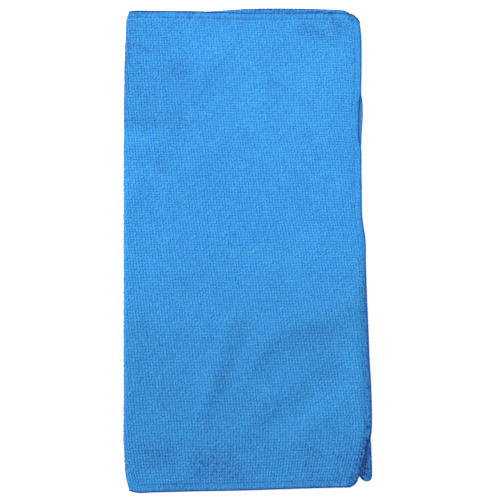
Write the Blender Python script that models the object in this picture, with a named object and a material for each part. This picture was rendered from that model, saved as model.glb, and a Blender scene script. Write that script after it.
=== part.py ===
# A square microfibre cloth, folded once and lying on a table: the fold is on the left (-X), and the
# cut edges of both layers are on the right (+X). The cloth is one solid. Its underside is flat on z = 0.
# The outer skin is drawn first (underside, fold, top) and a Solidify modifier gives it its thickness inwards.

from bisect import bisect_left
from collections import namedtuple
from math import cos, exp, hypot, pi, sin, sqrt

import bpy

MM = 0.001

# Driving sizes of the cloth, in metres
PILE_THICKNESS = 2.4 * MM
HEM_THICKNESS = 1.5 * MM
HEM_WIDTH = 5.5 * MM
HEM_EASE = 3.0 * MM  # the pile rises beside the pressed hem over this width
LAYER_GAP = 0.5 * MM
LAYER_WIDTH = 200 * MM
HEM_BRIDGE = 3.0 * MM  # the upper layer spans the step of the lower hem this far out

# The fold is fuller than two flat layers and settles beside it
FOLD_RADIUS = 3.4 * MM
FOLD_EASE = 20 * MM

# Round corners at the free edges
UPPER_TOP_CORNER = 6 * MM
UPPER_BOTTOM_CORNER = 7 * MM
LOWER_TOP_CORNER = 14 * MM
LOWER_BOTTOM_CORNER = 3 * MM

# Where the upper layer passes the lower one it sags towards the table
SAG = 1.3 * MM
SAG_START = 0.6 * MM
SAG_RUN = 5.0 * MM

# The lower layer's corner shows at the bottom right as a small lobe, curled up along its rims
EAR_MIDDLE = 97.6 * MM
EAR_HALF_WIDTH = 5.2 * MM
EAR_LIFT = 1.3 * MM
EAR_BRIDGE = 1.3  # the upper layer lifts this much more than the curl below it
EAR_FROM_Y = -166 * MM
EAR_TO_Y = -182 * MM

# Slow unevenness of the upper layer: waves of these lengths, each lying across the direction (x, y)
WAVE_HEIGHT = 0.07 * MM
Wave = namedtuple("Wave", "length x y start")
WAVES = [
    Wave(67 * MM, 0.93, 0.37, 1.1),
    Wave(94 * MM, -0.34, 0.94, 0.4),
    Wave(53 * MM, 0.71, -0.70, 2.6),
]

# Mesh: lines at these distances inside an edge, then even spacing
EDGE_LINES = [0, 1 * MM, 2.75 * MM, HEM_WIDTH, HEM_WIDTH + HEM_EASE, 13 * MM]
END_LINES = [0, 2.75 * MM, HEM_WIDTH, HEM_WIDTH + HEM_EASE, 13 * MM]
COLUMNS_PER_LAYER = 20
ROWS = 40
FOLD_STEPS = 8

# Cross-sections from the top of the cloth to its bottom, in mm
Section = namedtuple("Section", "y fold upper lower")
SECTIONS = [
    Section(201, -99.4, 98.0, 96.0),
    Section(192, -101.8, 98.1, 96.2),
    Section(178, -102.4, 99.6, 97.0),
    Section(160, -102.8, 99.8, 98.0),
    Section(145, -102.9, 99.4, 98.4),
    Section(133, -102.9, 98.8, 98.8),
    Section(119, -102.9, 97.2, 100.1),
    Section(108, -102.8, 96.3, 100.0),
    Section(96, -102.5, 95.9, 99.3),
    Section(88, -102.4, 96.6, 97.2),
    Section(78, -102.3, 97.8, 95.8),
    Section(45, -101.8, 97.8, 94.8),
    Section(22, -101.4, 98.1, 94.5),
    Section(2, -101.1, 100.3, 95.0),
    Section(-20, -100.7, 100.4, 95.6),
    Section(-75, -99.8, 101.9, 97.2),
    Section(-125, -98.9, 102.7, 99.0),
    Section(-152, -98.3, 102.6, 100.4),
    Section(-163, -98.0, 101.0, 101.5),
    Section(-180, -97.0, 95.7, 102.2),
    Section(-189, -96.3, 92.3, 102.4),
    Section(-197, -95.0, 89.5, 102.4),
    Section(-203, -93.0, 88.5, 102.4),
]

# Both hemmed ends of both layers, from the fold (share 0) to the free edge (share 1), in mm
End = namedtuple("End", "share upper_top lower_top upper_bottom lower_bottom")
ENDS = [
    End(0.00, 199.5, 199.5, -201.4, -201.4),
    End(0.03, 200.1, 199.9, -202.5, -201.9),
    End(0.10, 200.5, 200.0, -202.7, -202.0),
    End(0.30, 200.0, 200.2, -202.1, -201.4),
    End(0.40, 199.3, 201.0, -201.9, -201.0),
    End(0.53, 198.5, 202.7, -201.2, -200.4),
    End(0.75, 198.8, 202.7, -199.8, -198.8),
    End(0.90, 198.3, 201.6, -199.1, -195.6),
    End(0.95, 197.0, 201.3, -198.8, -190.2),
    End(0.968, 196.6, 201.3, -198.8, -193.4),
    End(0.985, 196.2, 201.3, -198.8, -194.3),
    End(1.00, 196.0, 201.3, -198.8, -194.3),
]

# Soft ridges of the upper layer, in mm: the crest runs from the first point over the second to the third.
# above and below are how far the ridge spreads on its upper-left and on its lower-right side.
Ridge = namedtuple("Ridge", "x1 y1 x2 y2 x3 y3 above below height")
RIDGES = [
    Ridge(96, -42, 42, -66, 1, -107, 14, 9, 2.0),
    Ridge(-8, -60, -22, -106, -40, -174, 10, 9, 1.5),
    Ridge(62, -104, 29, -121, 8, -142, 12, 8, 1.4),
    Ridge(88, -122, 60, -144, 33, -170, 11, 9, 1.5),
    Ridge(93, -58, 93, -100, 94, -140, 9, 8, 0.7),
    Ridge(-2, 176, -25, 144, -42, 116, 10, 9, 0.6),
    Ridge(-98, 117, -80, 118, -60, 112, 12, 9, 0.6),
    Ridge(-96, -162, -76, -163, -58, -158, 12, 9, 0.9),
    Ridge(-20, -166, -16, -180, -12, -196, 8, 8, 0.5),
    Ridge(28, 196, 52, 188, 76, 180, 10, 8, 0.4),
]


def between(a, b, share):
    return a + (b - a) * share


def eased(share):
    share = min(max(share, 0.0), 1.0)
    return share * share * (3 - 2 * share)


def curve_through(rows, key, column):
    """A function that reads one column of a table, on a smooth curve through its rows."""
    points = sorted((getattr(row, key), getattr(row, column)) for row in rows)
    last = len(points) - 1

    def slope(n):
        (low, a), (high, b) = points[max(n - 1, 0)], points[min(n + 1, last)]
        return (b - a) / (high - low)

    slopes = [slope(n) for n in range(last + 1)]

    def value(at):
        at = min(max(at, points[0][0]), points[last][0])
        n = max(bisect_left(points, (at,)) - 1, 0)
        (low, a), (high, b) = points[n], points[n + 1]
        step = high - low
        t = (at - low) / step
        rise = slopes[n] * step * (t - 2 * t**2 + t**3) + slopes[n + 1] * step * (t**3 - t**2)
        return between(a, b, eased(t)) + rise

    return value


FOLD_AT = curve_through(SECTIONS, "y", "fold")
EDGE_AT = {layer: curve_through(SECTIONS, "y", layer) for layer in ("upper", "lower")}
END_AT = {name: curve_through(ENDS, "share", name) for name in End._fields[1:]}


def fold_x(y):
    return FOLD_AT(y / MM) * MM


def edge_x(layer, y):
    return EDGE_AT[layer](y / MM) * MM


def corner_rise(distance, radius):
    """How far a round corner has left the straight end, this far from the free edge."""
    if distance >= radius:
        return 0.0
    return radius - sqrt(radius**2 - (radius - distance) ** 2)


CORNERS = {
    "upper_top": UPPER_TOP_CORNER,
    "upper_bottom": UPPER_BOTTOM_CORNER,
    "lower_top": LOWER_TOP_CORNER,
    "lower_bottom": LOWER_BOTTOM_CORNER,
}


def end_y(layer, end, inset, line=0.0):
    """The y of a hemmed end, this far inside the free edge, or of a line that follows it further in."""
    name = f"{layer}_{end}"
    radius = CORNERS[name]
    straight = END_AT[name](1 - inset / LAYER_WIDTH) * MM
    rise = corner_rise(inset, radius) * max(0.0, 1 - line / (2 * radius))
    return straight - rise - line if end == "top" else straight + rise + line


def thickness(inset):
    """The pile's thickness, pressed to the hem's beside a sewn edge."""
    return between(HEM_THICKNESS, PILE_THICKNESS, eased((inset - HEM_WIDTH) / HEM_EASE))


def fold_radius(y):
    """The outer radius of the fold, smaller in the hemmed ends by what the hem is thinner."""
    inset = min(end_y("lower", "top", LAYER_WIDTH) - y, y - end_y("lower", "bottom", LAYER_WIDTH))
    return FOLD_RADIUS - PILE_THICKNESS + thickness(inset)


def inset_of(layer, x, y):
    """The distance inside the nearest sewn edge of a layer, negative outside it."""
    side = edge_x(layer, y) - x
    along = min(max(side, 0.0), LAYER_WIDTH)
    return min(side, end_y(layer, "top", along) - y, y - end_y(layer, "bottom", along))


def ear_lift(x, y):
    """The lower layer's curl at its bottom right corner: highest along the rims, none in the middle."""
    from_rim = (abs(x - EAR_MIDDLE) - EAR_HALF_WIDTH) / EAR_HALF_WIDTH
    across = max(0.0, 1 - from_rim**2) ** 2
    return EAR_LIFT * across * eased((y - EAR_FROM_Y) / (EAR_TO_Y - EAR_FROM_Y))


def ridge_height(ridge, x, y):
    """The height of one soft ridge here: full along its crest, and running out at both ends."""
    points = [(ridge.x1, ridge.y1), (ridge.x2, ridge.y2), (ridge.x3, ridge.y3)]
    best = None
    for n in range(2):
        (ax, ay), (bx, by) = points[n], points[n + 1]
        dx, dy = bx - ax, by - ay
        share = min(max(((x - ax) * dx + (y - ay) * dy) / (dx * dx + dy * dy), 0.0), 1.0)
        off_x, off_y = x - ax - share * dx, y - ay - share * dy
        distance = hypot(off_x, off_y)
        if best is None or distance < best[0]:
            best = (distance, off_y - off_x, (n + share) / 2)
    distance, upward, along = best
    width = ridge.above if upward > 0 else ridge.below
    return ridge.height * exp(-((distance / width) ** 2)) * eased(along / 0.2) * eased((1 - along) / 0.2)


def relief(x, y):
    """All ridges of the upper layer and its slow unevenness."""
    ridges = sum(ridge_height(ridge, x / MM, y / MM) for ridge in RIDGES) * MM
    waves = sum(sin(2 * pi * (x * w.x + y * w.y) / w.length + w.start) for w in WAVES)
    return ridges + WAVE_HEIGHT * waves


def support_height(x, y):
    """What the upper layer lies on: the lower layer, and a sag past its sewn edge."""
    inset = inset_of("lower", x, y)
    sag = SAG * eased((-inset - SAG_START) / SAG_RUN)
    return thickness(inset + HEM_BRIDGE) + EAR_BRIDGE * ear_lift(x, y) - sag


def upper_height(x, y):
    """The top of the upper layer: it rests on the lower one, and is fuller beside the fold."""
    inset = inset_of("upper", x, y)
    flat = support_height(x, y) + LAYER_GAP + thickness(inset)
    radius = fold_radius(y)
    beside_fold = 1 - eased((x - fold_x(y) - radius) / FOLD_EASE)
    return between(flat + relief(x, y), 2 * radius, beside_fold)


def layer_point(layer, column, row):
    """One point of a layer's outer skin. column and row are (distance inside an edge, share of the rest)."""
    inset, across = column
    line, along = row
    band = EDGE_LINES[-1]
    nominal = inset if across is None else between(band, LAYER_WIDTH, across)
    if along is None:
        y = end_y(layer, "bottom", nominal, line) if line >= 0 else end_y(layer, "top", nominal, -line)
    else:
        y = between(
            end_y(layer, "bottom", nominal, END_LINES[-1]),
            end_y(layer, "top", nominal, END_LINES[-1]),
            along,
        )
    edge = edge_x(layer, y)
    x = edge - inset if across is None else between(edge - band, fold_x(y) + fold_radius(y), across)
    return x, y


def skin_rows():
    """Rows of the skin, bottom to top: at first close to the hem, then even, then close to the hem again."""
    rows = [(line, None) for line in END_LINES]
    rows += [(0, n / ROWS) for n in range(1, ROWS)]
    rows += [(-line, None) for line in reversed(END_LINES[1:])]
    return rows + [(-1e-9, None)]


def skin_columns():
    return [(line, None) for line in EDGE_LINES] + [
        (0, n / COLUMNS_PER_LAYER) for n in range(1, COLUMNS_PER_LAYER + 1)
    ]


def skin_section(row):
    """One section of the outer skin and its thickness: lower free edge, fold, upper free edge."""
    section = []
    for column in skin_columns():
        x, y = layer_point("lower", column, row)
        section.append(((x, y, ear_lift(x, y)), thickness(inset_of("lower", x, y))))
    x, y = layer_point("lower", (0, 1.0), row)
    radius = fold_radius(y)
    for n in range(1, FOLD_STEPS):
        turn = pi * n / FOLD_STEPS
        point = (x - radius * sin(turn), y, radius * (1 - cos(turn)))
        section.append((point, thickness(inset_of("lower", x, y))))
    for column in reversed(skin_columns()):
        x, y = layer_point("upper", column, row)
        section.append(((x, y, upper_height(x, y)), thickness(inset_of("upper", x, y))))
    return section


def pile_material():
    material = bpy.data.materials.new("blue_pile")
    material.use_nodes = True
    shader = material.node_tree.nodes["Principled BSDF"]
    shader.inputs["Base Color"].default_value = (0.045, 0.30, 0.73, 1)
    shader.inputs["Roughness"].default_value = 0.95
    shader.inputs["Metallic"].default_value = 0.0
    material.diffuse_color = (0.045, 0.30, 0.73, 1)
    return material


def build_cloth():
    sections = [skin_section(row) for row in skin_rows()]
    width = len(sections[0])
    points = [point for section in sections for point, _ in section]
    faces = [
        (r * width + c, r * width + c + 1, (r + 1) * width + c + 1, (r + 1) * width + c)
        for r in range(len(sections) - 1)
        for c in range(width - 1)
    ]
    mesh = bpy.data.meshes.new("microfibre_cloth")
    mesh.from_pydata(points, [], faces)
    mesh.materials.append(pile_material())
    mesh.shade_smooth()
    cloth = bpy.data.objects.new("microfibre_cloth", mesh)
    bpy.context.scene.collection.objects.link(cloth)

    group = cloth.vertex_groups.new(name="thickness")
    for index, (_, thick) in enumerate(entry for section in sections for entry in section):
        group.add([index], thick / PILE_THICKNESS, "REPLACE")
    solidify = cloth.modifiers.new("thickness", "SOLIDIFY")
    solidify.thickness = PILE_THICKNESS
    solidify.offset = -1
    solidify.vertex_group = group.name
    return cloth


for old in list(bpy.data.objects):
    bpy.data.objects.remove(old, do_unlink=True)
build_cloth()
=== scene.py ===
# A blue microfibre cloth, folded once and lying flat: fine folded sheet, looped pile, overlocked edge.
from bisect import bisect_left
from math import ceil, cos, exp, floor, hypot, pi, radians, sin, sqrt

import bpy
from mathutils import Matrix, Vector


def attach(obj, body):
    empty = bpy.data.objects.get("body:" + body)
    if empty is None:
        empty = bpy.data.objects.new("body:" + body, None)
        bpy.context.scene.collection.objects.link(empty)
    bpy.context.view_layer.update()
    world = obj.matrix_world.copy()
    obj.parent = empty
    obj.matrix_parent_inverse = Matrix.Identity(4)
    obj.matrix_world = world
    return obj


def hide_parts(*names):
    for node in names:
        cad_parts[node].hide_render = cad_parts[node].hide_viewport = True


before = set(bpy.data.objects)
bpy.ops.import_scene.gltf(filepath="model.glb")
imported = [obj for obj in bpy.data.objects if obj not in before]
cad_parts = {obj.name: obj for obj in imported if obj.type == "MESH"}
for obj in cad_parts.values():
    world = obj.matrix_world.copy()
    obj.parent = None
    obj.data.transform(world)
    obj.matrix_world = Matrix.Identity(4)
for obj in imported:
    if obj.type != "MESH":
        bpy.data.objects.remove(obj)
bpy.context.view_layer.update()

mm = 0.001

# camera and light: the cloth is seen from almost straight above
view = {
    "target": (4.64, -6.83, 4.0),  # mm
    "distance": 700,  # mm
    "tilt": 6.6,  # degrees off the vertical, looking a little towards +Y
    "lens": 60.5,
    "sensor": 36,
    "nearest": 10,  # mm
}


def makeCamera():
    data = bpy.data.cameras.new("camera")
    data.lens = view["lens"]
    data.sensor_width = view["sensor"]
    data.clip_start = view["nearest"] * mm
    camera = bpy.data.objects.new("camera", data)
    bpy.context.scene.collection.objects.link(camera)
    tilt = radians(view["tilt"])
    target = Vector(view["target"]) * mm
    camera.location = target + Vector((0, -sin(tilt), cos(tilt))) * view["distance"] * mm
    camera.rotation_euler = (tilt, 0, 0)
    bpy.context.scene.camera = camera


# places and sizes in metres; the floor glows a little, so that shadows stay faint
studio = {
    "keySize": 1.8, "keyPower": 225, "keyPlace": (-3.5, 2.0, 3.3),
    "fillSize": 2.4, "fillPower": 10, "fillPlace": (0.9, -0.6, 2.0),
    "sky": (0.93, 0.96, 1.0), "skyStrength": 0.82,
    "floor": (0.9, 0.9, 0.9), "floorRoughness": 0.9, "floorGlow": 0.35,
    "floorSide": 40.0, "floorDrop": 0.0003,
}


def makeLight(name, place, size, power):
    data = bpy.data.lights.new(name, "AREA")
    data.shape = "DISK"
    data.size = size
    data.energy = power
    light = bpy.data.objects.new(name, data)
    bpy.context.scene.collection.objects.link(light)
    light.location = place
    light.rotation_euler = (-Vector(place)).to_track_quat("-Z", "Y").to_euler()


def makeSky():
    world = bpy.data.worlds.new("studio")
    world.use_nodes = True
    sky = world.node_tree.nodes["Background"]
    sky.inputs["Color"].default_value = (*studio["sky"], 1)
    sky.inputs["Strength"].default_value = studio["skyStrength"]
    bpy.context.scene.world = world
    bpy.context.scene.view_settings.view_transform = "Standard"


def makeStudio():
    makeLight("keyLight", studio["keyPlace"], studio["keySize"], studio["keyPower"])
    makeLight("fillLight", studio["fillPlace"], studio["fillSize"], studio["fillPower"])
    makeSky()
    far = studio["floorSide"] / 2
    z = -studio["floorDrop"]
    mesh = bpy.data.meshes.new("floor")
    mesh.from_pydata([(-far, -far, z), (far, -far, z), (far, far, z), (-far, far, z)], [], [(0, 1, 2, 3)])
    floor = bpy.data.objects.new("floor", mesh)
    bpy.context.scene.collection.objects.link(floor)
    paper = bpy.data.materials.new("whitePaper")
    paper.use_nodes = True
    shader = paper.node_tree.nodes["Principled BSDF"]
    shader.inputs["Base Color"].default_value = (*studio["floor"], 1)
    shader.inputs["Roughness"].default_value = studio["floorRoughness"]
    shader.inputs["Emission Color"].default_value = (1, 1, 1, 1)
    shader.inputs["Emission Strength"].default_value = studio["floorGlow"]
    mesh.materials.append(paper)


makeCamera()
makeStudio()
print("camera, light and floor ready")


# the cloth's own sizes, in mm
cloth = {
    "side": 400, "layer": 200,  # the flat square, and how wide one layer is
    "pile": 2.4, "hem": 1.5, "hemWidth": 4.0, "hemEase": 6.5,  # how thick it is, and where the sewn edge ends
    "basePile": 0.9, "baseHem": 0.8,  # the ground cloth alone, without its loops or the edge thread
    "layerGap": 0.5, "hemBridge": 3.0,  # how the upper layer lies on the lower one
    "foldRadius": 3.4, "foldEase": 20, "foldFlat": 9,  # foldFlat: cloth that turns in the fold
    "sag": 1.3, "sagStart": 0.6, "sagRun": 5.0,  # past the lower layer's edge
    "skirt": 1.5, "skirtIn": 0.9, "skirtEase": 0.4,  # the guide's margin outside the sewn edge
}
half, side = cloth["side"] / 2, cloth["side"]
corners = {("upper", "top"): 7.2, ("upper", "bottom"): 5.5, ("lower", "top"): 14, ("lower", "bottom"): 4}
ear = {"middle": 97.6, "half": 5.2, "lift": 1.3, "bridge": 1.3, "fromY": -166, "toY": -182}
waves = {"height": 0.07, "rows": [(67, 0.93, 0.37, 1.1), (94, -0.34, 0.94, 0.4), (53, 0.71, -0.70, 2.6)]}

# sections from the top of the cloth to its bottom
sections = {"names": ("y", "fold", "upper", "lower"), "rows": [
    (201, -99.7, 98.9, 96.0),
    (192, -102.1, 98.7, 96.2),
    (178, -102.4, 99.9, 97.0),
    (160, -102.95, 99.8, 98.0),
    (145, -103.05, 99.4, 98.4),
    (133, -103.05, 98.9, 98.0),
    (127, -103.05, 98.7, 99.2),
    (121, -103.05, 97.8, 100.0),
    (113, -102.95, 97.1, 100.2),
    (106, -102.85, 96.8, 100.0),
    (96, -102.65, 96.5, 99.2),
    (89, -102.55, 96.7, 98.7),
    (83, -102.55, 97.6, 98.4),
    (77, -102.45, 98.3, 97.4),
    (68, -102.25, 98.3, 96.2),
    (45, -101.95, 98.3, 94.8),
    (22, -101.55, 98.4, 94.5),
    (2, -101.25, 100.7, 95.0),
    (-20, -100.85, 100.8, 95.6),
    (-48, -100.35, 101.3, 96.3),
    (-75, -99.95, 102.1, 97.2),
    (-95, -99.55, 102.5, 98.0),
    (-125, -99.05, 103.7, 99.4),
    (-152, -98.7, 103.5, 101.2),
    (-163, -98.5, 101.4, 102.6),
    (-180, -97.2, 96.0, 102.9),
    (-189, -96.5, 92.6, 102.9),
    (-197, -94.7, 90.0, 102.9),
    (-203, -93.0, 89.0, 102.9),
]}

# the four hemmed ends, from the fold (share 0) to the free edge (share 1)
ends = {"names": ("share", "uppertop", "lowertop", "upperbottom", "lowerbottom"), "rows": [
    (0.00, 199.7, 199.7, -202.2, -202.2),
    (0.03, 200.2, 200.0, -203.4, -202.6),
    (0.10, 200.5, 200.0, -203.1, -202.4),
    (0.30, 200.0, 200.4, -202.3, -201.6),
    (0.40, 199.3, 201.5, -202.1, -201.2),
    (0.53, 198.5, 203.2, -201.5, -200.7),
    (0.75, 198.8, 203.3, -200.3, -199.3),
    (0.90, 198.7, 202.4, -199.7, -196.0),
    (0.95, 198.2, 202.2, -199.6, -190.4),
    (0.968, 197.8, 202.2, -199.6, -194.0),
    (0.985, 197.4, 202.2, -199.6, -194.9),
    (1.00, 197.2, 202.2, -199.6, -194.9),
]}

# soft ridges of the upper layer: crest from the first point over the second to the third, its spread on the
# upper-left and on the lower-right side, and its height. They fade out over a share of their length
ridges = {"fade": 0.2, "rows": [
    (106, -50, 31, -73, -8, -114, 13, 9, 2.7),
    (-4, -50, -21, -102, -41, -160, 10, 9, 2.1),
    (54, -115, 30, -129, 0, -155, 12, 8, 2.1),
    (88, -122, 60, -144, 30, -174, 11, 9, 1.9),
    (93, -58, 93, -100, 94, -140, 9, 8, 0.4),
    (0, 190, -24, 155, -50, 116, 9, 7, 1.2),
    (-104, 92, -84, 92, -58, 82, 8, 8, 1.2),
    (-96, -162, -76, -163, -58, -158, 12, 9, 1.1),
    (-20, -166, -16, -180, -12, -196, 8, 8, 0.6),
    (40, 194, 58, 186, 82, 174, 9, 6, 1.2),
]}

# painted shade and light, in soft patches of one layer or both: darker on crease flanks turned from the
# light, in the upper layer's shadow on the ear, along the rims and the needle line, and where the nap lies
# the other way; lighter where the light falls on them. The middle of a patch, its reach along and across, its
# turn in degrees, and the change
paintedShading = {"darkest": 0.1, "rows": [
    ("both", -74, 134, 30, 26, 90, -0.05),
    ("both", -57, 150, 10, 7, -30, -0.13),
    ("both", -51, 138, 9, 6, -60, -0.08),
    ("both", -57, 108, 14, 6, 80, -0.10),
    ("both", -84, 103, 18, 6, 0, -0.11),
    ("both", -103, 148, 66, 4.5, 90, -0.22),
    ("both", -105, 80, 150, 2.1, 90, -0.48),
    ("both", -105, -150, 40, 2.1, 90, -0.36),
    ("both", -87, 87, 18, 5, 0, 0.09),
    ("both", -96, 50, 30, 9, 90, 0.05),
    ("both", -70, 66, 10, 6, -60, -0.10),
    ("both", 60, 181, 14, 5, -20, -0.20),
    ("both", 79, 188, 9, 4.5, -55, -0.22),
    ("both", -94, 199, 14, 4, 0, -0.15),
    ("both", -15, 20, 85, 38, 0, -0.045),
    ("both", 0, 172, 30, 16, 30, 0.04),
    ("both", 66, 142, 32, 34, 0, 0.06),
    ("both", -42, 168, 26, 16, 20, 0.06),
    ("both", 14, 78, 26, 12, 60, 0.03),
    ("both", 5, 124, 24, 16, 90, 0.06),
    ("both", 24, 136, 9, 6, 20, -0.06),
    ("both", -30, 60, 18, 10, -40, -0.04),
    ("both", -88, 167, 17, 3.5, 0, -0.09),
    ("both", 85, -25, 22, 7, 0, -0.05),
    ("both", -52, -60, 46, 18, 0, 0.045),
    ("both", 64, -108, 14, 8, 20, -0.08),
    ("both", -58, -130, 24, 14, 0, -0.05),
    ("both", -90, -48, 34, 9, 90, 0.06),
    ("both", -72, -175, 15, 12, 0, -0.16),
    ("both", -32, -181, 16, 13, 10, -0.19),
    ("both", -10, -190, 16, 7, 0, -0.14),
    ("both", 55, -176, 15, 12, 0, -0.10),
    ("both", 84, -178, 12, 14, 0, -0.12),
    ("both", -74, -192, 9, 5, 0, 0.06),
    ("upper", 101.5, -95, 95, 5, 91.2, -0.06),
    ("both", 82, -194, 22, 5, 0, -0.12),
    ("upper", 97, -171, 24, 4.5, 74, -0.26),
    ("both", -10, 194, 110, 6, 0, -0.04),
    ("both", 0, -203, 110, 2.5, 0.7, -0.18),
    ("upper", -45, 201, 55, 2.5, 0, -0.15),
    ("upper", -76, 200.8, 7, 1.6, 0, -0.45),
    ("upper", -48, 200.3, 10, 1.6, 0, -0.45),
    ("upper", -30, 199.6, 6, 1.6, 0, -0.40),
    ("both", 10, -178, 90, 26, 0, -0.06),
    ("both", 62, -73, 18, 5, 12, -0.06),
    ("both", -25, -60, 18, 10, 0, 0.04),
    ("both", 93, -30, 60, 4, 90, 0.05),
    ("both", 50, -84, 24, 8, 10, -0.10),
    ("both", 20, -90, 14, 6, 50, -0.05),
    ("both", -6, -136, 20, 9, 20, -0.07),
    ("both", -20, -118, 30, 7, 70, -0.08),
    ("both", 20, -138, 18, 9, 45, -0.11),
    ("both", 62, -142, 24, 9, 40, 0.05),
    ("lower", 98, -184, 18, 6, 75, -0.36),
    ("lower", 103.5, -186, 14, 1.8, 90, -0.30),
    ("lower", 101, -191, 8, 5, 90, -0.15),
    ("lower", 40, 204, 75, 1.7, 0, -0.68),
    ("upper", -48, 194.4, 50, 1.2, -1.2, -0.24),
    ("upper", 48, 193.2, 52, 1.2, 0, -0.16),
    ("lower", 99, 105, 22, 4, 90, 0.10),
    ("both", 62, -200, 42, 3, 1.5, -0.11),
    ("upper", 56, 198.5, 34, 2.2, 0, -0.16),
    ("both", 91, 198, 10, 3, -38, -0.32),
    ("both", -6, -167, 14, 7, 20, -0.08),
    ("both", -50, 97, 12, 9, 0, -0.05),
    ("both", -98, -178, 22, 5, 90, -0.10),
    ("both", -52, -199, 16, 5, 0, -0.10),
    ("upper", 88, -108, 26, 9, 90, 0.06),
    ("both", -50, -179, 5, 14, 0, 0.08),
    ("upper", -62, 198, 34, 3, 0, 0.06),
]}

# painted shade: the sewn band down the upper layer's edge turns away from the light, so it is painted darker
strip = {"width": 6.0, "soft": 1.6, "fromY": 12, "run": 60, "farChange": -0.05, "nearChange": -0.19}


def between(a, b, share):
    return a + (b - a) * share


def eased(share):
    share = min(max(share, 0.0), 1.0)
    return share * share * (3 - 2 * share)


def curveThrough(table, column):
    # reads one column of a table on a smooth curve through its rows
    which = table["names"].index(column)
    points = sorted((row[0], row[which]) for row in table["rows"])
    last = len(points) - 1
    slopes = []
    for n in range(last + 1):
        (low, a), (high, b) = points[max(n - 1, 0)], points[min(n + 1, last)]
        slopes.append((b - a) / (high - low))

    def value(at):
        at = min(max(at, points[0][0]), points[last][0])
        n = max(bisect_left(points, (at,)) - 1, 0)
        (low, a), (high, b) = points[n], points[n + 1]
        step = high - low
        t = (at - low) / step
        rise = slopes[n] * step * (t - 2 * t**2 + t**3) + slopes[n + 1] * step * (t**3 - t**2)
        return between(a, b, eased(t)) + rise

    return value


foldX = curveThrough(sections, "fold")
edgeX = {layer: curveThrough(sections, layer) for layer in ("upper", "lower")}
endY = {key: curveThrough(ends, "".join(key)) for key in corners}


def straightEnd(layer, end, inset):
    return endY[layer, end](1 - inset / cloth["layer"])


def cornerLine(inset, line, radius):
    # how far inside the straight end a line runs here: it goes round the corner with the edge
    if inset < 0:  # on the guide's margin
        return line + max(0.0, radius + cloth["skirtIn"] - cloth["skirtEase"] * line)
    if inset >= radius:
        return line
    if line < 0:
        return radius - sqrt((radius - line) ** 2 - (radius - inset) ** 2)
    rise = radius - sqrt(radius**2 - (radius - inset) ** 2)
    return line + rise * max(0.0, 1 - line / (2 * radius))


def thickness(inset):
    return between(cloth["hem"], cloth["pile"], eased((inset - cloth["hemWidth"]) / cloth["hemEase"]))


def insetOf(layer, x, y):
    # distance inside the nearest sewn edge of a layer, negative outside it
    fromSide = edgeX[layer](y) - x
    along = min(max(fromSide, 0.0), cloth["layer"])
    top = straightEnd(layer, "top", along) - cornerLine(along, 0, corners[layer, "top"])
    bottom = straightEnd(layer, "bottom", along) + cornerLine(along, 0, corners[layer, "bottom"])
    return min(fromSide, top - y, y - bottom)


def insetFlat(layer, across, along):
    # the same on the flat cloth
    end = "top" if along > half else "bottom"
    fromEnd = side - along if end == "top" else along
    radius = corners[layer, end]
    if across < radius and fromEnd < radius:
        return radius - hypot(radius - across, radius - fromEnd)
    return min(across, fromEnd)


def foldRadius(y):
    top, bottom = straightEnd("lower", "top", cloth["layer"]), straightEnd("lower", "bottom", cloth["layer"])
    return cloth["foldRadius"] - cloth["pile"] + thickness(min(top - y, y - bottom))


def earLift(x, y):
    fromRim = (abs(x - ear["middle"]) - ear["half"]) / ear["half"]
    across = max(0.0, 1 - fromRim**2) ** 2
    return ear["lift"] * across * eased((y - ear["fromY"]) / (ear["toY"] - ear["fromY"]))


def ridgeHeight(ridge, x, y):
    x1, y1, x2, y2, x3, y3, above, below, height = ridge
    best = None
    for n, (ax, ay, bx, by) in enumerate([(x1, y1, x2, y2), (x2, y2, x3, y3)]):
        dx, dy = bx - ax, by - ay
        share = min(max(((x - ax) * dx + (y - ay) * dy) / (dx * dx + dy * dy), 0.0), 1.0)
        offX, offY = x - ax - share * dx, y - ay - share * dy
        distance = hypot(offX, offY)
        if best is None or distance < best[0]:
            best = (distance, offY - offX, (n + share) / 2)
    distance, upward, along = best
    width = above if upward > 0 else below
    faded = eased(along / ridges["fade"]) * eased((1 - along) / ridges["fade"])
    return height * exp(-((distance / width) ** 2)) * faded


def relief(x, y):
    slow = sum(sin(2 * pi * (x * dx + y * dy) / length + start) for length, dx, dy, start in waves["rows"])
    return sum(ridgeHeight(ridge, x, y) for ridge in ridges["rows"]) + waves["height"] * slow


def paintedShadingAt(layer, x, y):
    # painted shade and light at a point: the patches, and the strip down the upper layer's edge
    shade = 1.0
    for where, middleX, middleY, along, across, turn, change in paintedShading["rows"]:
        if where in (layer, "both"):
            dx, dy = x - middleX, y - middleY
            a = dx * cos(radians(turn)) + dy * sin(radians(turn))
            b = dy * cos(radians(turn)) - dx * sin(radians(turn))
            shade += change * exp(-((a / along) ** 2) - (b / across) ** 2)
    if layer == "upper":
        inside = strip["width"] - edgeX["upper"](y) + x
        nearer = eased((strip["fromY"] - y) / strip["run"])
        shade += between(strip["farChange"], strip["nearChange"], nearer) * eased(inside / strip["soft"])
    return max(shade, paintedShading["darkest"])


def upperHeight(x, y, thick):
    # the upper layer rests on the lower one, sags past its edge, and is fuller beside the fold
    inset = insetOf("lower", x, y)
    sag = cloth["sag"] * eased((-inset - cloth["sagStart"]) / cloth["sagRun"])
    support = thickness(inset + cloth["hemBridge"]) + ear["bridge"] * earLift(x, y) - sag
    radius = foldRadius(y)
    besideFold = 1 - eased((x - foldX(y) - radius) / cloth["foldEase"])
    return between(support + cloth["layerGap"] + thick + relief(x, y), 2 * radius, besideFold)


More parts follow.
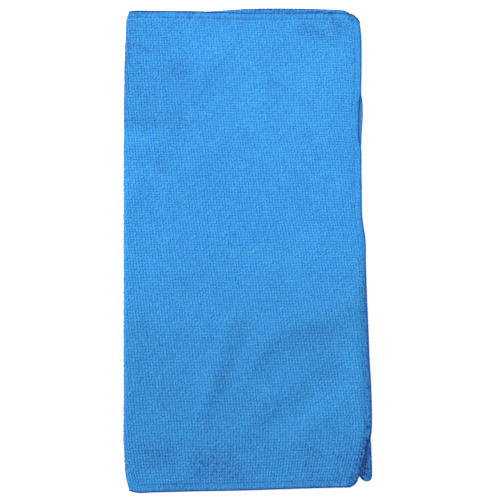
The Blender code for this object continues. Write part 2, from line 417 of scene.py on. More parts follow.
# grid of the outer skin: underside, round the fold, top. A column is a line's inset from the edge, or a share
# of the way from the last line to the fold. A row is a line at one end, or a share of the way between ends
def skinPoint(layer, column, row, lines):
    inset, across = column
    end, line, along = row
    band = lines[-1]
    flatAcross = inset if across is None else between(band, cloth["layer"] - cloth["foldFlat"] / 2, across)
    nominal = max(inset, 0.0) if across is None else between(band, cloth["layer"], across)
    low = cornerLine(flatAcross, line if end == "bottom" else band, corners[layer, "bottom"])
    high = cornerLine(flatAcross, line if end == "top" else band, corners[layer, "top"])
    share = {"bottom": 0.0, "top": 1.0, "middle": along}[end]
    y = between(straightEnd(layer, "bottom", nominal) + low, straightEnd(layer, "top", nominal) - high, share)
    flatAlong = between(low, side - high, share)
    edge = edgeX[layer](y)
    x = edge - inset if across is None else between(edge - band, foldX(y) + foldRadius(y), across)
    return x, y, flatAcross, flatAlong


def skinSection(row, grid):
    # one section: (place, place on the flat cloth, thickness, inset, painted shade) of each point
    section = []
    lines = grid["lines"]
    for layer, count in (("lower", grid["lower"]), ("upper", grid["upper"])):
        columns = [(line, None) for line in lines] + [(0, n / count) for n in range(1, count + 1)]
        points = []
        for column in columns:
            x, y, across, along = skinPoint(layer, column, row, lines)
            inset = insetFlat(layer, across, along)
            thick = thickness(inset)
            z = earLift(x, y) if layer == "lower" else upperHeight(x, y, thick)
            flat = across if layer == "lower" else side - across
            points.append(((x, y, z), (flat, along), thick, inset, paintedShadingAt(layer, x, y)))
        if layer == "upper":
            (x, y, _), (start, along), thick, inset, _ = section[-1]
            radius = foldRadius(y)
            for n in range(1, grid["fold"]):
                turn = pi * n / grid["fold"]
                spot = (x - radius * sin(turn), y, radius * (1 - cos(turn)))
                flat = (start + cloth["foldFlat"] * n / grid["fold"], along)
                section.append((spot, flat, thick, inset, paintedShadingAt(layer, spot[0], y)))
            points.reverse()
        section += points
    return section


def skinMesh(name, grid):
    lines = grid["lines"]
    rows = [("bottom", line, 0) for line in lines]
    rows += [("middle", 0, n / grid["rows"]) for n in range(1, grid["rows"])]
    rows += [("top", line, 0) for line in reversed(lines)]
    skin = [skinSection(row, grid) for row in rows]
    width = len(skin[0])
    points = [point for section in skin for point in section]
    faces = []
    for r in range(len(skin) - 1):
        for c in range(width - 1):
            first = r * width + c
            faces.append((first, first + 1, first + 1 + width, first + width))
    mesh = bpy.data.meshes.new(name)
    mesh.from_pydata([Vector(point[0]) * mm for point in points], [], faces)
    flat = mesh.uv_layers.new(name="clothFlat")
    for loop in mesh.loops:
        across, along = points[loop.vertex_index][1]
        flat.data[loop.index].uv = (across * mm, along * mm)
    for label, which, unit in (("thick", 2, mm), ("inset", 3, mm), ("shade", 4, 1)):  # which value of a point
        values = [point[which] * unit for point in points]
        mesh.attributes.new(label, "FLOAT", "POINT").data.foreach_set("value", values)
    mesh.shade_smooth()
    return mesh


def place(mesh, name):
    piece = bpy.data.objects.new(name, mesh)
    bpy.context.scene.collection.objects.link(piece)
    return piece


def settled(piece, name):
    # the piece with its modifiers worked out, as a plain mesh at the origin
    graph = bpy.context.evaluated_depsgraph_get()
    mesh = bpy.data.meshes.new_from_object(piece.evaluated_get(graph), depsgraph=graph)
    mesh.name = name
    bpy.data.objects.remove(piece, do_unlink=True)
    return place(mesh, name)


def addNode(tree, kind, values=None, **settings):
    made = tree.nodes.new(kind)
    for name, value in settings.items():
        setattr(made, name, value)
    for name, value in (values or {}).items():
        if isinstance(value, bpy.types.NodeSocket):
            tree.links.new(value, made.inputs[name])
        else:
            made.inputs[name].default_value = value
    return made


def maths(tree, operation, a, b=0.0, c=0.0):
    return addNode(tree, "ShaderNodeMath", {0: a, 1: b, 2: c}, operation=operation).outputs[0]


def vector(tree, operation, a, b=(0, 0, 0), c=(0, 0, 0), scale=1.0):
    return addNode(tree, "ShaderNodeVectorMath", {0: a, 1: b, 2: c, 3: scale}, operation=operation).outputs[0]


def combine(tree, x, y=0.0, z=0.0):
    return addNode(tree, "ShaderNodeCombineXYZ", {0: x, 1: y, 2: z}).outputs[0]


def separate(tree, value):
    return addNode(tree, "ShaderNodeSeparateXYZ", {0: value}).outputs


# colours: the dyed yarn's own tones and the painted shade laid over them, shared by the ground cloth, the
# loops and the edge thread
yarn = {
    "patch": 30, "patchShare": 0.15, "blotch": 150, "blotchShare": 0.12, "fleck": 900, "fleckShare": 0.65,
    "detail": 2.0, "cold": (0.0124, 0.1625, 0.499), "warm": (0.0935, 0.440, 0.737),
    "bounce": (3.9, 0.6, -0.6),  # painted root shade: light that bounces among the roots loses its red first and its blue last
    # painted shade of the dark patches takes away more green than red and blue, and breaks into small specks
    "nap": (0.7, 1.0, 0.65),
    "tuft": 430, "shadeSpeckDetail": 1.0, "shadeSpeckFrom": 0.48, "shadeSpeckTo": 0.66, "shadeSpeckShut": 0.58, "shadeSpeckOpen": 2.8,
    "lowFrom": 15, "lowTo": -85, "low": 0.835,  # mm along the cloth: painted shade makes the nearer half darker
}


def noiseOf(tree, where, scale, detail):
    noise = addNode(tree, "ShaderNodeTexNoise", {"Vector": where, "Scale": scale, "Detail": detail})
    return noise.outputs["Fac"]


def mapped(tree, value, fromMin, fromMax, toMin, toMax, kind="LINEAR"):
    return addNode(tree, "ShaderNodeMapRange", {
        "Value": value, "From Min": fromMin, "From Max": fromMax, "To Min": toMin, "To Max": toMax,
    }, interpolation_type=kind).outputs[0]


def makeYarnGroup():
    group = bpy.data.node_groups.new("yarnTones", "ShaderNodeTree")
    for name in ("Tone", "Tip", "Shade", "Depth", "ShadeSpecks"):
        group.interface.new_socket(name, in_out="INPUT", socket_type="NodeSocketFloat")
    group.interface.new_socket("Color", in_out="OUTPUT", socket_type="NodeSocketColor")
    enter = group.nodes.new("NodeGroupInput").outputs
    leave = group.nodes.new("NodeGroupOutput")
    where = addNode(group, "ShaderNodeTexCoord").outputs["Object"]

    # three sizes of uneven dye
    tone = enter["Tone"]
    for size in ("patch", "blotch", "fleck"):
        noise = noiseOf(group, where, yarn[size], yarn["detail"])
        tone = maths(group, "MULTIPLY_ADD", maths(group, "SUBTRACT", noise, 0.5), yarn[size + "Share"], tone)
    tone = addNode(group, "ShaderNodeClamp", {"Value": tone}).outputs[0]
    dyed = addNode(group, "ShaderNodeMix", {"Factor": tone}, data_type="RGBA")
    dyed.inputs[6].default_value = (*yarn["cold"], 1)
    dyed.inputs[7].default_value = (*yarn["warm"], 1)
    color = dyed.outputs[2]

    # painted shade among the roots, and the painted shade of the darker patches, broken into small specks
    shadeSpecks = noiseOf(group, where, yarn["tuft"], yarn["shadeSpeckDetail"])
    shadeSpecks = mapped(group, shadeSpecks, yarn["shadeSpeckFrom"], yarn["shadeSpeckTo"], yarn["shadeSpeckShut"] - 1, yarn["shadeSpeckOpen"] - 1)
    shadeSpecks = maths(group, "MULTIPLY_ADD", shadeSpecks, enter["ShadeSpecks"], 1.0)
    shadeApplied = maths(group, "POWER", enter["Shade"], maths(group, "MULTIPLY", enter["Depth"], shadeSpecks))
    for strength, powers in ((enter["Tip"], "bounce"), (shadeApplied, "nap")):
        deeper = combine(group, *(maths(group, "POWER", strength, power) for power in yarn[powers]))
        color = vector(group, "MULTIPLY", color, deeper)

    # painted shade on the nearer half
    along = separate(group, where)[1]
    nearer = mapped(group, along, yarn["lowTo"] * mm, yarn["lowFrom"] * mm, yarn["low"], 1.0, "SMOOTHSTEP")
    nearer = maths(group, "POWER", nearer, enter["Depth"])
    color = vector(group, "SCALE", color, scale=nearer)
    group.links.new(color, leave.inputs["Color"])
    return group


yarnGroup = makeYarnGroup()

# what all the fabrics share; fibre is the fine bump of the yarn itself
finish = {
    "roughness": 0.92, "gloss": 0.2, "sheenRoughness": 0.45, "sheenTint": (0.45, 0.75, 1.0),
    "fibreDetail": 3.0, "fibreStrength": 0.6,
}


def fabricMaterial(name, tone, tip, shadeDepth, shadeSpecks, sheen, fibre, depth):
    # tone and tip are numbers, or names of attributes that change over the piece; tip is painted root shade;
    # shadeDepth is how strongly the painted shade of the dark patches shows here, most of it at the roots
    material = bpy.data.materials.new(name)
    material.use_nodes = True
    tree = material.node_tree
    shader = tree.nodes["Principled BSDF"]
    group = addNode(tree, "ShaderNodeGroup", node_tree=yarnGroup)
    given = {"Tone": tone, "Tip": tip, "Shade": "shade", "Depth": shadeDepth, "ShadeSpecks": shadeSpecks}
    for socket, value in given.items():
        if isinstance(value, str):
            read = addNode(tree, "ShaderNodeAttribute", attribute_name=value)
            tree.links.new(read.outputs["Fac"], group.inputs[socket])
        else:
            group.inputs[socket].default_value = value
    tree.links.new(group.outputs["Color"], shader.inputs["Base Color"])
    shader.inputs["Roughness"].default_value = finish["roughness"]
    shader.inputs["Specular IOR Level"].default_value = finish["gloss"]
    shader.inputs["Sheen Weight"].default_value = sheen
    shader.inputs["Sheen Roughness"].default_value = finish["sheenRoughness"]
    shader.inputs["Sheen Tint"].default_value = (*finish["sheenTint"], 1)
    where = addNode(tree, "ShaderNodeTexCoord").outputs["Object"]
    fibres = noiseOf(tree, where, fibre, finish["fibreDetail"])
    bump = {"Height": fibres, "Strength": finish["fibreStrength"], "Distance": depth}
    ridge = addNode(tree, "ShaderNodeBump", bump)
    tree.links.new(ridge.outputs["Normal"], shader.inputs["Normal"])
    return material


# the ground cloth between the loops: painted shade keeps it darker (tip), and the painted dark patches show
# most on it
groundBlue = fabricMaterial(
    "groundBlue", tone=0.5, tip=0.90, shadeDepth=1.4, shadeSpecks=1.0, sheen=0.1, fibre=1500, depth=0.0004)
loopBlue = fabricMaterial(
    "loopBlue", tone="tone", tip="tip", shadeDepth=0.9, shadeSpecks=1.0, sheen=0.25, fibre=4200, depth=0.00012)
threadBlue = fabricMaterial(
    "threadBlue", tone="tone", tip=0.95, shadeDepth=1.0, shadeSpecks=0.0, sheen=0.15, fibre=5200, depth=0.0001)
print("materials ready")


# the folded sheet: the ground cloth that the loops stand on
edgeLines = [0, 0.6, 1.3, 2.75, 4.2, 5.5, 7.0, 8.5, 10.5, 13]
sheetGrid = {"lines": edgeLines, "lower": 30, "upper": 56, "fold": 12, "rows": 100}
guideGrid = {"lines": [-cloth["skirt"], *edgeLines], "lower": 40, "upper": 80, "fold": 16, "rows": 150}


def makeSheet():
    mesh = skinMesh("clothSheet", sheetGrid)
    sheet = place(mesh, "clothSheet")
    group = sheet.vertex_groups.new(name="ground")
    normals = [vertex.normal.copy() for vertex in mesh.vertices]
    for vertex, normal, full in zip(mesh.vertices, normals, mesh.attributes["thick"].data):
        share = (full.value / mm - cloth["hem"]) / (cloth["pile"] - cloth["hem"])
        ground = between(cloth["baseHem"], cloth["basePile"], share)
        vertex.co -= normal * (full.value - ground * mm) / 2
        group.add([vertex.index], ground / cloth["basePile"], "REPLACE")
    solidify = sheet.modifiers.new("ground", "SOLIDIFY")
    solidify.thickness = cloth["basePile"] * mm
    solidify.offset = -1
    solidify.vertex_group = group.name
    sheet = settled(sheet, "clothSheet")
    sheet.data.materials.clear()
    sheet.data.materials.append(groundBlue)
    return sheet


sheet = makeSheet()
guide = place(skinMesh("guide", guideGrid), "guide")
print("folded sheet ready:", len(sheet.data.polygons), "faces")


# looped pile: one arch of yarn for each loop, on the rows and columns of the knit (mm and degrees)
pile = {
    "pitchAcross": 2.33, "pitchAlong": 2.24, "lean": -0.105, "jitter": 0.33,
    "span": 1.0, "height": 0.60, "yarn": 0.42, "flat": 2.2, "sink": 0.25, "clear": 1.2,
    "topSides": 5, "topBends": 3, "plainSides": 4, "plainBends": 2,  # plainer where the floor hides them
    "insideReach": 12,  # how far in the loops between the layers go
    "needleLine": 5.55, "groove": 0.25, "grooveWidth": 1.1,  # the needle thread presses the loops down
    "bandLift": 0.2,  # on the sewn band they stand prouder
    "turn": 90, "turnSpread": 80, "tilt": 20, "leastBulk": (0.85, 0.85, 0.8), "mostBulk": (1.15, 1.15, 1.15),
    # painted shade on each loop: rootShade at its foot, rising to topShade at its top
    "toneSpread": 0.14, "rootShade": 0.78, "topShade": 1.04, "topPower": 1.2, "seed": 11,
}


def startTree(name, sockets):
    tree = bpy.data.node_groups.new(name, "GeometryNodeTree")
    tree.interface.new_socket("Geometry", in_out="INPUT", socket_type="NodeSocketGeometry")
    for socket, kind in sockets:
        tree.interface.new_socket(socket, in_out="INPUT", socket_type="NodeSocket" + kind)
    tree.interface.new_socket("Geometry", in_out="OUTPUT", socket_type="NodeSocketGeometry")
    return tree, tree.nodes.new("NodeGroupInput").outputs


def endTree(tree, geometry, material):
    real = addNode(tree, "GeometryNodeRealizeInstances", {"Geometry": geometry}).outputs[0]
    done = addNode(tree, "GeometryNodeSetShadeSmooth", {"Geometry": real}).outputs[0]
    done = addNode(tree, "GeometryNodeSetMaterial", {"Geometry": done, "Material": material}).outputs[0]
    tree.links.new(done, tree.nodes.new("NodeGroupOutput").inputs[0])
    return tree


def readName(tree, name, kind="FLOAT"):
    named = addNode(tree, "GeometryNodeInputNamedAttribute", {"Name": name}, data_type=kind)
    return named.outputs["Attribute"]


def storeName(tree, geometry, name, value, kind="FLOAT", domain="POINT"):
    values = {"Geometry": geometry, "Name": name, "Value": value}
    return addNode(tree, "GeometryNodeStoreNamedAttribute", values, data_type=kind, domain=domain).outputs[0]


def dropNames(tree, geometry, names):
    for name in names:
        values = {"Geometry": geometry, "Name": name}
        geometry = addNode(tree, "GeometryNodeRemoveAttribute", values).outputs[0]
    return geometry


def ringOf(tree, sides, radius):
    ring = addNode(tree, "GeometryNodeCurvePrimitiveCircle", {"Resolution": sides, "Radius": radius})
    return ring.outputs[0]


def sampleMap(tree, mesh, value, mapName, at, kind="FLOAT_VECTOR"):
    # reads a value of a mesh at a place of one of its maps
    source = readName(tree, mapName, "FLOAT_VECTOR")
    values = {"Mesh": mesh, "Value": value, "Source UV Map": source, "Sample UV": at}
    sampled = addNode(tree, "GeometryNodeSampleUVSurface", values, data_type=kind)
    return sampled.outputs[0], sampled.outputs[1]


def position(tree):
    return tree.nodes.new("GeometryNodeInputPosition").outputs[0]


def randomOf(tree, kind, low, high, seed, each=None):
    # each: what counts the things that get one value, the points themselves if nothing is given
    made = addNode(tree, "FunctionNodeRandomValue", data_type=kind)
    given = {"Min": low, "Max": high, "Seed": seed, "ID": each}
    for socket in made.inputs:
        value = given[socket.name] if socket.enabled and socket.name in given else None
        if isinstance(value, bpy.types.NodeSocket):
            tree.links.new(value, socket)
        elif value is not None:
            socket.default_value = value
    return next(socket for socket in made.outputs if socket.enabled)


def makePileTree():
    tree, enter = startTree("loopedPile", [
        ("Pitch across", "Float"), ("Pitch along", "Float"), ("Lean", "Float"), ("Jitter", "Float"),
        ("Span", "Float"), ("Height", "Float"), ("Yarn", "Float"), ("Flat", "Float"), ("Sides", "Int"),
        ("Bends", "Int"), ("Root", "Float"), ("Needle line", "Float"), ("Groove", "Float"),
        ("Groove width", "Float"), ("Band lift", "Float"), ("Side", "Float"), ("First", "Vector"),
        ("Columns", "Int"), ("Rows", "Int"), ("From", "Float"), ("To", "Float"), ("Clear", "Float"),
        ("Reach", "Float"), ("Turn", "Vector"), ("Turn spread", "Vector"), ("Tone spread", "Float"),
        ("Root shade", "Float"), ("Top shade", "Float"), ("Top power", "Float"),
        ("Least bulk", "Vector"), ("Most bulk", "Vector"), ("Seed", "Int"), ("Material", "Material"),
    ])
    skin = enter["Geometry"]
    seeds = [maths(tree, "ADD", enter["Seed"], float(n)) for n in range(4)]

    # points of the knit on the flat cloth: rows, and columns that lean a little
    total = maths(tree, "MULTIPLY", enter["Columns"], enter["Rows"])
    points = addNode(tree, "GeometryNodeMeshLine", {"Count": total}).outputs[0]
    points = addNode(tree, "GeometryNodeMeshToPoints", {"Mesh": points}).outputs[0]
    index = tree.nodes.new("GeometryNodeInputIndex").outputs[0]
    row = maths(tree, "FLOOR", maths(tree, "DIVIDE", maths(tree, "ADD", index, 0.5), enter["Columns"]))
    column = maths(tree, "SUBTRACT", index, maths(tree, "MULTIPLY", row, enter["Columns"]))
    first = separate(tree, enter["First"])
    along = maths(tree, "MULTIPLY_ADD", row, enter["Pitch along"], first[1])
    across = maths(tree, "MULTIPLY_ADD", column, enter["Pitch across"], first[0])
    across = maths(tree, "MULTIPLY_ADD", maths(tree, "SUBTRACT", along, half * mm), enter["Lean"], across)
    knit = combine(tree, across, along)
    shake = randomOf(tree, "FLOAT_VECTOR", (-1, -1, 0), (1, 1, 0), seeds[0])
    knit = vector(tree, "ADD", knit, vector(tree, "SCALE", shake, scale=enter["Jitter"]))
    points = addNode(tree, "GeometryNodeSetPosition", {"Geometry": points, "Position": knit}).outputs[0]

    # laid on the folded skin, and none in the sewn edge
    at, found = sampleMap(tree, skin, position(tree), "clothFlat", position(tree))
    normal = tree.nodes.new("GeometryNodeInputNormal").outputs[0]
    up, _ = sampleMap(tree, skin, normal, "clothFlat", position(tree))
    inset, _ = sampleMap(tree, skin, readName(tree, "inset"), "clothFlat", position(tree), "FLOAT")
    # the skin's painted shade and light goes on to the loops
    shade, _ = sampleMap(tree, skin, readName(tree, "shade"), "clothFlat", position(tree), "FLOAT")
    thick, _ = sampleMap(tree, skin, readName(tree, "thick"), "clothFlat", position(tree), "FLOAT")
    thin = mapped(tree, thick, cloth["hem"] * mm, cloth["pile"] * mm, 1.0, 0.0)
    for name, value, kind in (
        ("at", at, "FLOAT_VECTOR"), ("up", up, "FLOAT_VECTOR"), ("inset", inset, "FLOAT"),
        ("shade", shade, "FLOAT"), ("thin", thin, "FLOAT"), ("found", found, "FLOAT"),
        ("across", separate(tree, position(tree))[0], "FLOAT"),
    ):
        points = storeName(tree, points, name, value, kind)
    drop = maths(tree, "LESS_THAN", readName(tree, "found"), 0.5)
    for operation, name, limit in (
        ("LESS_THAN", "inset", "Clear"), ("GREATER_THAN", "inset", "Reach"),
        ("LESS_THAN", "across", "From"), ("GREATER_THAN", "across", "To"),
    ):
        drop = maths(tree, "ADD", drop, maths(tree, operation, readName(tree, name), enter[limit]))
    chosen = {"Geometry": points, "Selection": drop}
    points = addNode(tree, "GeometryNodeDeleteGeometry", chosen, domain="POINT").outputs[0]

    # each foot goes down into the ground cloth, deeper along the needle line
    up = readName(tree, "up", "FLOAT_VECTOR")
    aside = maths(tree, "ABSOLUTE", maths(tree, "SUBTRACT", readName(tree, "inset"), enter["Needle line"]))
    pressed = mapped(tree, aside, 0.0, enter["Groove width"], enter["Groove"], 0.0)
    lifted = maths(tree, "MULTIPLY", readName(tree, "thin"), enter["Band lift"])
    depth = maths(tree, "SUBTRACT", maths(tree, "ADD", enter["Root"], pressed), lifted)
    sunk = vector(tree, "SCALE", up, scale=depth)
    foot = vector(tree, "SUBTRACT", readName(tree, "at", "FLOAT_VECTOR"), sunk)
    points = addNode(tree, "GeometryNodeSetPosition", {"Geometry": points, "Position": foot}).outputs[0]

    # one loop of yarn: an arch on end
    arc = addNode(tree, "GeometryNodeCurveArc", {
        "Resolution": maths(tree, "ADD", enter["Bends"], 1.0), "Radius": enter["Span"],
        "Start Angle": 0.0, "Sweep Angle": pi,
    }).outputs[0]
    taller = combine(tree, 1.0, maths(tree, "DIVIDE", enter["Height"], enter["Span"]), 1.0)
    arc = addNode(tree, "GeometryNodeTransform", {"Geometry": arc, "Scale": taller}).outputs[0]
    arc = addNode(tree, "GeometryNodeTransform", {"Geometry": arc, "Rotation": (pi / 2, 0, 0)}).outputs[0]
    ring = ringOf(tree, enter["Sides"], enter["Yarn"])
    fuller = combine(tree, enter["Flat"], 1.0, 1.0)
    ring = addNode(tree, "GeometryNodeTransform", {"Geometry": ring, "Scale": fuller}).outputs[0]
    loop = addNode(tree, "GeometryNodeCurveToMesh", {"Curve": arc, "Profile Curve": ring}).outputs[0]
    # painted shade along each loop: Root shade at its foot, Top shade at its top
    top = maths(tree, "ADD", enter["Height"], enter["Yarn"])
    tip = mapped(tree, separate(tree, position(tree))[2], 0.0, top, 0.0, 1.0)
    tip = maths(tree, "POWER", tip, enter["Top power"])
    gain = maths(tree, "SUBTRACT", enter["Top shade"], enter["Root shade"])
    loop = storeName(tree, loop, "tip", maths(tree, "MULTIPLY_ADD", tip, gain, enter["Root shade"]))

    # each loop stands on the skin, turned and leaning its own way
    stand = addNode(tree, "FunctionNodeAxesToRotation", {
        "Primary Axis": vector(tree, "SCALE", up, scale=enter["Side"]), "Secondary Axis": (1, 0, 0),
    }, primary_axis="Z", secondary_axis="X").outputs[0]
    own = randomOf(tree, "FLOAT_VECTOR", (-1, -1, -1), (1, 1, 1), seeds[1])
    own = vector(tree, "MULTIPLY_ADD", own, enter["Turn spread"], enter["Turn"])
    own = addNode(tree, "FunctionNodeEulerToRotation", {0: own}).outputs[0]
    stand = addNode(tree, "FunctionNodeRotateRotation", {0: stand, 1: own}, rotation_space="LOCAL").outputs[0]
    bulk = randomOf(tree, "FLOAT_VECTOR", enter["Least bulk"], enter["Most bulk"], seeds[2])
    copies = addNode(tree, "GeometryNodeInstanceOnPoints", {
        "Points": points, "Instance": loop, "Rotation": stand, "Scale": bulk,
    }).outputs[0]
    chance = randomOf(tree, "FLOAT", -0.5, 0.5, seeds[3])
    tone = maths(tree, "MULTIPLY_ADD", chance, enter["Tone spread"], 0.5)
    copies = storeName(tree, copies, "tone", tone, domain="INSTANCE")
    real = addNode(tree, "GeometryNodeRealizeInstances", {"Geometry": copies}).outputs[0]
    real = dropNames(tree, real, ("at", "up", "found", "across", "thin"))
    return endTree(tree, real, enter["Material"])


def grow(name, tree, values):
    # a copy of the guide becomes the piece: inputs are set by their sockets' identifiers
    piece = place(guide.data.copy(), name)
    modifier = piece.modifiers.new("make", "NODES")
    modifier.node_group = tree
    for socket in tree.interface.items_tree:
        if socket.item_type == "SOCKET" and socket.in_out == "INPUT" and socket.name in values:
            modifier[socket.identifier] = values[socket.name]
    made = settled(piece, name)
    print(name, "has", sum(len(face.vertices) - 2 for face in made.data.polygons), "triangles")
    return made


pileTree = makePileTree()


def growPile(name, columnsFrom, columnsTo, rowsFrom, rowsTo, seed, **changes):
    # the lattice of the knit is one for the whole cloth, so pieces meet on it
    root = (cloth["pile"] - cloth["basePile"]) / 2 + pile["sink"]
    spread = abs(pile["lean"]) * half
    firstColumn = floor((columnsFrom - spread) / pile["pitchAcross"])
    lastColumn = ceil((columnsTo + spread) / pile["pitchAcross"])
    firstRow, lastRow = ceil(rowsFrom / pile["pitchAlong"]), ceil(rowsTo / pile["pitchAlong"]) - 1
    values = {
        "Pitch across": pile["pitchAcross"] * mm, "Pitch along": pile["pitchAlong"] * mm,
        "Lean": pile["lean"], "Jitter": pile["jitter"] * mm,
        "Span": pile["span"] * mm, "Height": pile["height"] * mm,
        "Yarn": pile["yarn"] * mm, "Flat": pile["flat"], "Sides": pile["topSides"], "Bends": pile["topBends"],
        "Root": root * mm, "Side": 1.0, "Needle line": pile["needleLine"] * mm, "Groove": pile["groove"] * mm,
        "Groove width": pile["grooveWidth"] * mm, "Band lift": pile["bandLift"] * mm,
        "First": (firstColumn * pile["pitchAcross"] * mm, firstRow * pile["pitchAlong"] * mm, 0),
        "Columns": lastColumn - firstColumn + 1, "Rows": lastRow - firstRow + 1,
        "From": columnsFrom * mm, "To": columnsTo * mm,
        "Clear": pile["clear"] * mm, "Reach": side * mm, "Turn": (0, 0, radians(pile["turn"])),
        "Turn spread": (radians(pile["tilt"]), radians(pile["tilt"]), radians(pile["turnSpread"])),
        "Tone spread": pile["toneSpread"], "Root shade": pile["rootShade"], "Top shade": pile["topShade"],
        "Top power": pile["topPower"], "Least bulk": pile["leastBulk"], "Most bulk": pile["mostBulk"],
        "Seed": pile["seed"] + seed, "Material": loopBlue,
    }
    values.update(changes)
    return grow(name, pileTree, values)


foldStart = cloth["layer"] - cloth["foldFlat"] / 2
plainLoops = {"Sides": pile["plainSides"], "Bends": pile["plainBends"]}
inner = {
    "Side": -1.0, "Root": (cloth["pile"] + cloth["basePile"]) / 2 * mm - pile["sink"] * mm,
    "Reach": pile["insideReach"] * mm, **plainLoops,
}
pilePieces = [
    growPile("pileFar", foldStart, side, side * 2 / 3, side, seed=0),
    growPile("pileMiddle", foldStart, side, side / 3, side * 2 / 3, seed=5),
    growPile("pileNear", foldStart, side, 0, side / 3, seed=10),
    growPile("pileUnderFar", 0, foldStart, half, side, seed=20, **plainLoops),
    growPile("pileUnderNear", 0, foldStart, 0, half, seed=25, **plainLoops),
    growPile("pileInside", 0, side, 0, side, seed=30, **inner),
]
print("pile ready")


# overlock: a full soft looper thread that zigzags over the edge, a cord of knots along the rim, and the
# needle's line of dashes, which sinks into the pile (mm)
edging = {
    "stitch": 3.5, "seed": 5, "lean": 0.35, "reach": 0.06, "bob": 0.05, "toneSpread": 0.36,
    "worn": 45, "rimShadeNoiseDetail": 1.0, "rimShadeNoiseShare": 1.0, "darkest": 0.08,  # the painted rim shade is darker in some stretches
    "rails": [-1.5, 0, 1.5, 3, 4.5, 6, 7.5], "tightest": 0.8, "cornerSteps": 8,  # the ribbon along the edge
    # rimShade and inShade: painted shade at the rim end and the inner end of each stitch, where the rim turns
    # away from the light, the needle thread lies in its groove and the purl's knots leave gaps
    "names": ("piece", "fromEdge", "swing", "lift", "drop", "dropShare", "shift", "steps", "sides", "thread",
              "tone", "rimShade", "inShade"),
    "rows": [
        ("edgeLooper", 5.0, 4.7, -0.40, 0.35, 0.35, 0.0, 10, 4, 0.30, 0.5, 0.32, 0.9),
        ("edgeLooperBack", 5.0, 4.7, -1.10, -0.35, 0.35, 0.5, 10, 4, 0.30, 0.5, 0.32, 0.9),
        ("edgePurl", 0.1, 0.22, -0.55, 0.0, 0.5, 0.5, 6, 5, 0.66, 0.4, 0.40, 0.22),
        ("edgeNeedle", 5.55, 0.0, -0.25, 0.3, 0.3, 0.25, 6, 4, 0.24, 0.4, 0.52, 0.58),
        ("edgeNeedleBack", 5.55, 0.0, -1.25, -0.3, 0.3, 0.25, 6, 4, 0.24, 0.4, 0.52, 0.58),
    ],
}


def makeSeam():
    # a flat ribbon along the sewn edge, whose own map runs along the seam and across it
    rails = edging["rails"]
    steps = edging["cornerSteps"]
    turns = [
        (side, 0, -90, corners["upper", "bottom"]), (side, side, 0, corners["upper", "top"]),
        (0, side, 90, corners["lower", "top"]), (0, 0, 180, corners["lower", "bottom"]),
    ]
    stations = []
    run = 0.0
    last = (half, 0)
    for cornerX, cornerY, start, radius in turns:
        inX, inY = (1 if cornerX == 0 else -1), (1 if cornerY == 0 else -1)
        for n in range(steps + 1):
            angle = radians(start + 90 * n / steps)
            station = []
            for rail in rails:
                bend = max(radius - rail, edging["tightest"])
                centreX, centreY = cornerX + inX * (rail + bend), cornerY + inY * (rail + bend)
                station.append((centreX + bend * cos(angle), centreY + bend * sin(angle)))
            here = station[rails.index(0)]
            run += hypot(here[0] - last[0], here[1] - last[1])
            last = here
            stations.append((run, station))
    total = run + hypot(last[0] - half, last[1])
    stations.insert(0, (0.0, [(half, rail) for rail in rails]))
    stations.append((total, [(half, rail) for rail in rails]))
    points = [point for _, station in stations for point in station]
    wide = len(rails)
    faces = [
        (n * wide + k, (n + 1) * wide + k, (n + 1) * wide + k + 1, n * wide + k + 1)
        for n in range(len(stations) - 1) for k in range(wide - 1)
    ]
    mesh = bpy.data.meshes.new("seam")
    mesh.from_pydata([(x * mm, y * mm, 0) for x, y in points], [], faces)
    flat = mesh.uv_layers.new(name="seamFlat")
    for loop in mesh.loops:
        run, rail = stations[loop.vertex_index // wide][0], rails[loop.vertex_index % wide]
        flat.data[loop.index].uv = (run * mm, rail * mm)
    return place(mesh, "seam"), total


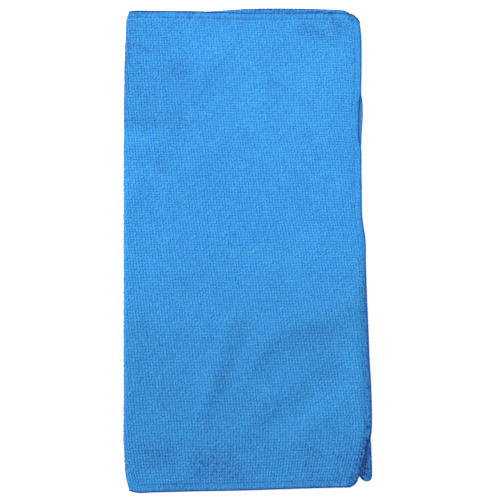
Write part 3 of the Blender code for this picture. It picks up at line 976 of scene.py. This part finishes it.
def makeEdgeTree():
    tree, enter = startTree("overlockThread", [
        ("Seam", "Object"), ("Length", "Float"), ("Stitches", "Int"), ("Steps", "Int"),
        ("From edge", "Float"), ("Swing", "Float"), ("Lift", "Float"), ("Drop", "Float"),
        ("Drop share", "Float"), ("Shift", "Float"), ("Thread", "Float"), ("Sides", "Int"),
        ("Tone", "Float"), ("Rim shade", "Float"), ("In shade", "Float"), ("Lean", "Float"),
        ("Reach", "Float"), ("Bob", "Float"), ("Tone spread", "Float"), ("Worn", "Float"),
        ("Rim shade noise detail", "Float"), ("Rim shade noise share", "Float"), ("Darkest", "Float"), ("Seed", "Int"),
        ("Material", "Material"),
    ])
    skin = enter["Geometry"]
    seam = addNode(tree, "GeometryNodeObjectInfo", {"Object": enter["Seam"]}).outputs["Geometry"]
    count = maths(tree, "MULTIPLY", enter["Stitches"], enter["Steps"])
    line = addNode(tree, "GeometryNodeMeshLine", {"Count": count}).outputs[0]

    # place in the stitch: 0 at the rim, 0.5 at the needle line
    index = tree.nodes.new("GeometryNodeInputIndex").outputs[0]
    turns = maths(tree, "ADD", maths(tree, "DIVIDE", index, enter["Steps"]), enter["Shift"])
    angle = maths(tree, "MULTIPLY", maths(tree, "FRACT", turns), 2 * pi)
    inward = maths(tree, "MULTIPLY_ADD", maths(tree, "COSINE", angle), -0.5, 0.5)
    stitch = maths(tree, "FLOOR", turns)
    uneven = separate(tree, randomOf(tree, "FLOAT_VECTOR", (-1, -1, -1), (1, 1, 1), enter["Seed"], stitch))
    along = maths(tree, "DIVIDE", maths(tree, "MULTIPLY", turns, enter["Length"]), enter["Stitches"])
    along = maths(tree, "MULTIPLY_ADD", maths(tree, "SINE", angle), enter["Lean"], along)
    along = maths(tree, "FLOORED_MODULO", along, enter["Length"])
    reach = maths(tree, "MULTIPLY_ADD", uneven[0], enter["Reach"], 1.0)
    swung = maths(tree, "MULTIPLY", enter["Swing"], maths(tree, "SUBTRACT", 1.0, inward))
    fromEdge = maths(tree, "MULTIPLY", maths(tree, "SUBTRACT", enter["From edge"], swung), reach)
    rise = mapped(tree, inward, 0.0, enter["Drop share"], 1.0, 0.0, "SMOOTHSTEP")
    height = maths(tree, "SUBTRACT", enter["Lift"], maths(tree, "MULTIPLY", enter["Drop"], rise))
    height = maths(tree, "MULTIPLY_ADD", uneven[1], enter["Bob"], height)

    # seam to flat cloth, flat cloth to folded cloth
    flat, _ = sampleMap(tree, seam, position(tree), "seamFlat", combine(tree, along, fromEdge))
    line = storeName(tree, line, "flat", flat, "FLOAT_VECTOR")
    line = storeName(tree, line, "height", height)
    # painted shade along the thread: Rim shade at the rim end of a stitch, In shade inwards, darker in some
    # stretches, times the cloth's painted shade and light
    light = maths(tree, "SUBTRACT", enter["Rim shade"], enter["In shade"])
    light = maths(tree, "MULTIPLY_ADD", light, rise, enter["In shade"])
    tone = maths(tree, "MULTIPLY", uneven[2], maths(tree, "MULTIPLY", enter["Tone spread"], 0.5))
    line = storeName(tree, line, "tone", maths(tree, "ADD", tone, enter["Tone"]))
    flatHere = readName(tree, "flat", "FLOAT_VECTOR")
    worn = maths(tree, "SUBTRACT", noiseOf(tree, flatHere, enter["Worn"], enter["Rim shade noise detail"]), 0.5)
    worn = maths(tree, "MULTIPLY", worn, maths(tree, "MULTIPLY", enter["Rim shade noise share"], rise))
    light = maths(tree, "MAXIMUM", maths(tree, "ADD", light, worn), enter["Darkest"])
    shade, _ = sampleMap(tree, skin, readName(tree, "shade"), "clothFlat", flatHere, "FLOAT")
    line = storeName(tree, line, "shade", maths(tree, "MULTIPLY", shade, light))
    at, _ = sampleMap(tree, skin, position(tree), "clothFlat", flatHere)
    up, _ = sampleMap(tree, skin, tree.nodes.new("GeometryNodeInputNormal").outputs[0], "clothFlat", flatHere)
    laid = vector(tree, "ADD", at, vector(tree, "SCALE", up, scale=readName(tree, "height")))
    line = addNode(tree, "GeometryNodeSetPosition", {"Geometry": line, "Position": laid}).outputs[0]
    strand = addNode(tree, "GeometryNodeMeshToCurve", {"Mesh": line}).outputs[0]
    strand = addNode(tree, "GeometryNodeSetSplineCyclic", {"Geometry": strand, "Cyclic": True}).outputs[0]
    ring = ringOf(tree, enter["Sides"], enter["Thread"])
    thread = addNode(tree, "GeometryNodeCurveToMesh", {"Curve": strand, "Profile Curve": ring}).outputs[0]
    thread = dropNames(tree, thread, ("flat", "height"))
    return endTree(tree, thread, enter["Material"])


seam, seamLength = makeSeam()
edgeTree = makeEdgeTree()
edgePieces = []
for row in edging["rows"]:
    row = dict(zip(edging["names"], row))
    edgePieces.append(grow(row["piece"], edgeTree, {
        "Seam": seam, "Length": seamLength * mm, "Stitches": round(seamLength / edging["stitch"]),
        "Steps": row["steps"], "From edge": row["fromEdge"] * mm, "Swing": row["swing"] * mm,
        "Lift": row["lift"] * mm, "Drop": row["drop"] * mm, "Drop share": row["dropShare"],
        "Shift": row["shift"], "Thread": row["thread"] * mm, "Sides": row["sides"], "Tone": row["tone"],
        "Rim shade": row["rimShade"], "In shade": row["inShade"], "Lean": edging["lean"] * mm,
        "Reach": edging["reach"], "Bob": edging["bob"] * mm, "Tone spread": edging["toneSpread"],
        "Worn": edging["worn"], "Rim shade noise detail": edging["rimShadeNoiseDetail"], "Rim shade noise share": edging["rimShadeNoiseShare"],
        "Darkest": edging["darkest"], "Seed": edging["seed"], "Material": threadBlue,
    }))
for helper in (guide, seam):
    bpy.data.objects.remove(helper, do_unlink=True)
print("edging ready, seam of", round(seamLength), "mm")

for piece in [sheet, *pilePieces, *edgePieces]:
    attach(piece, "root")
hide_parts("microfibre_cloth")
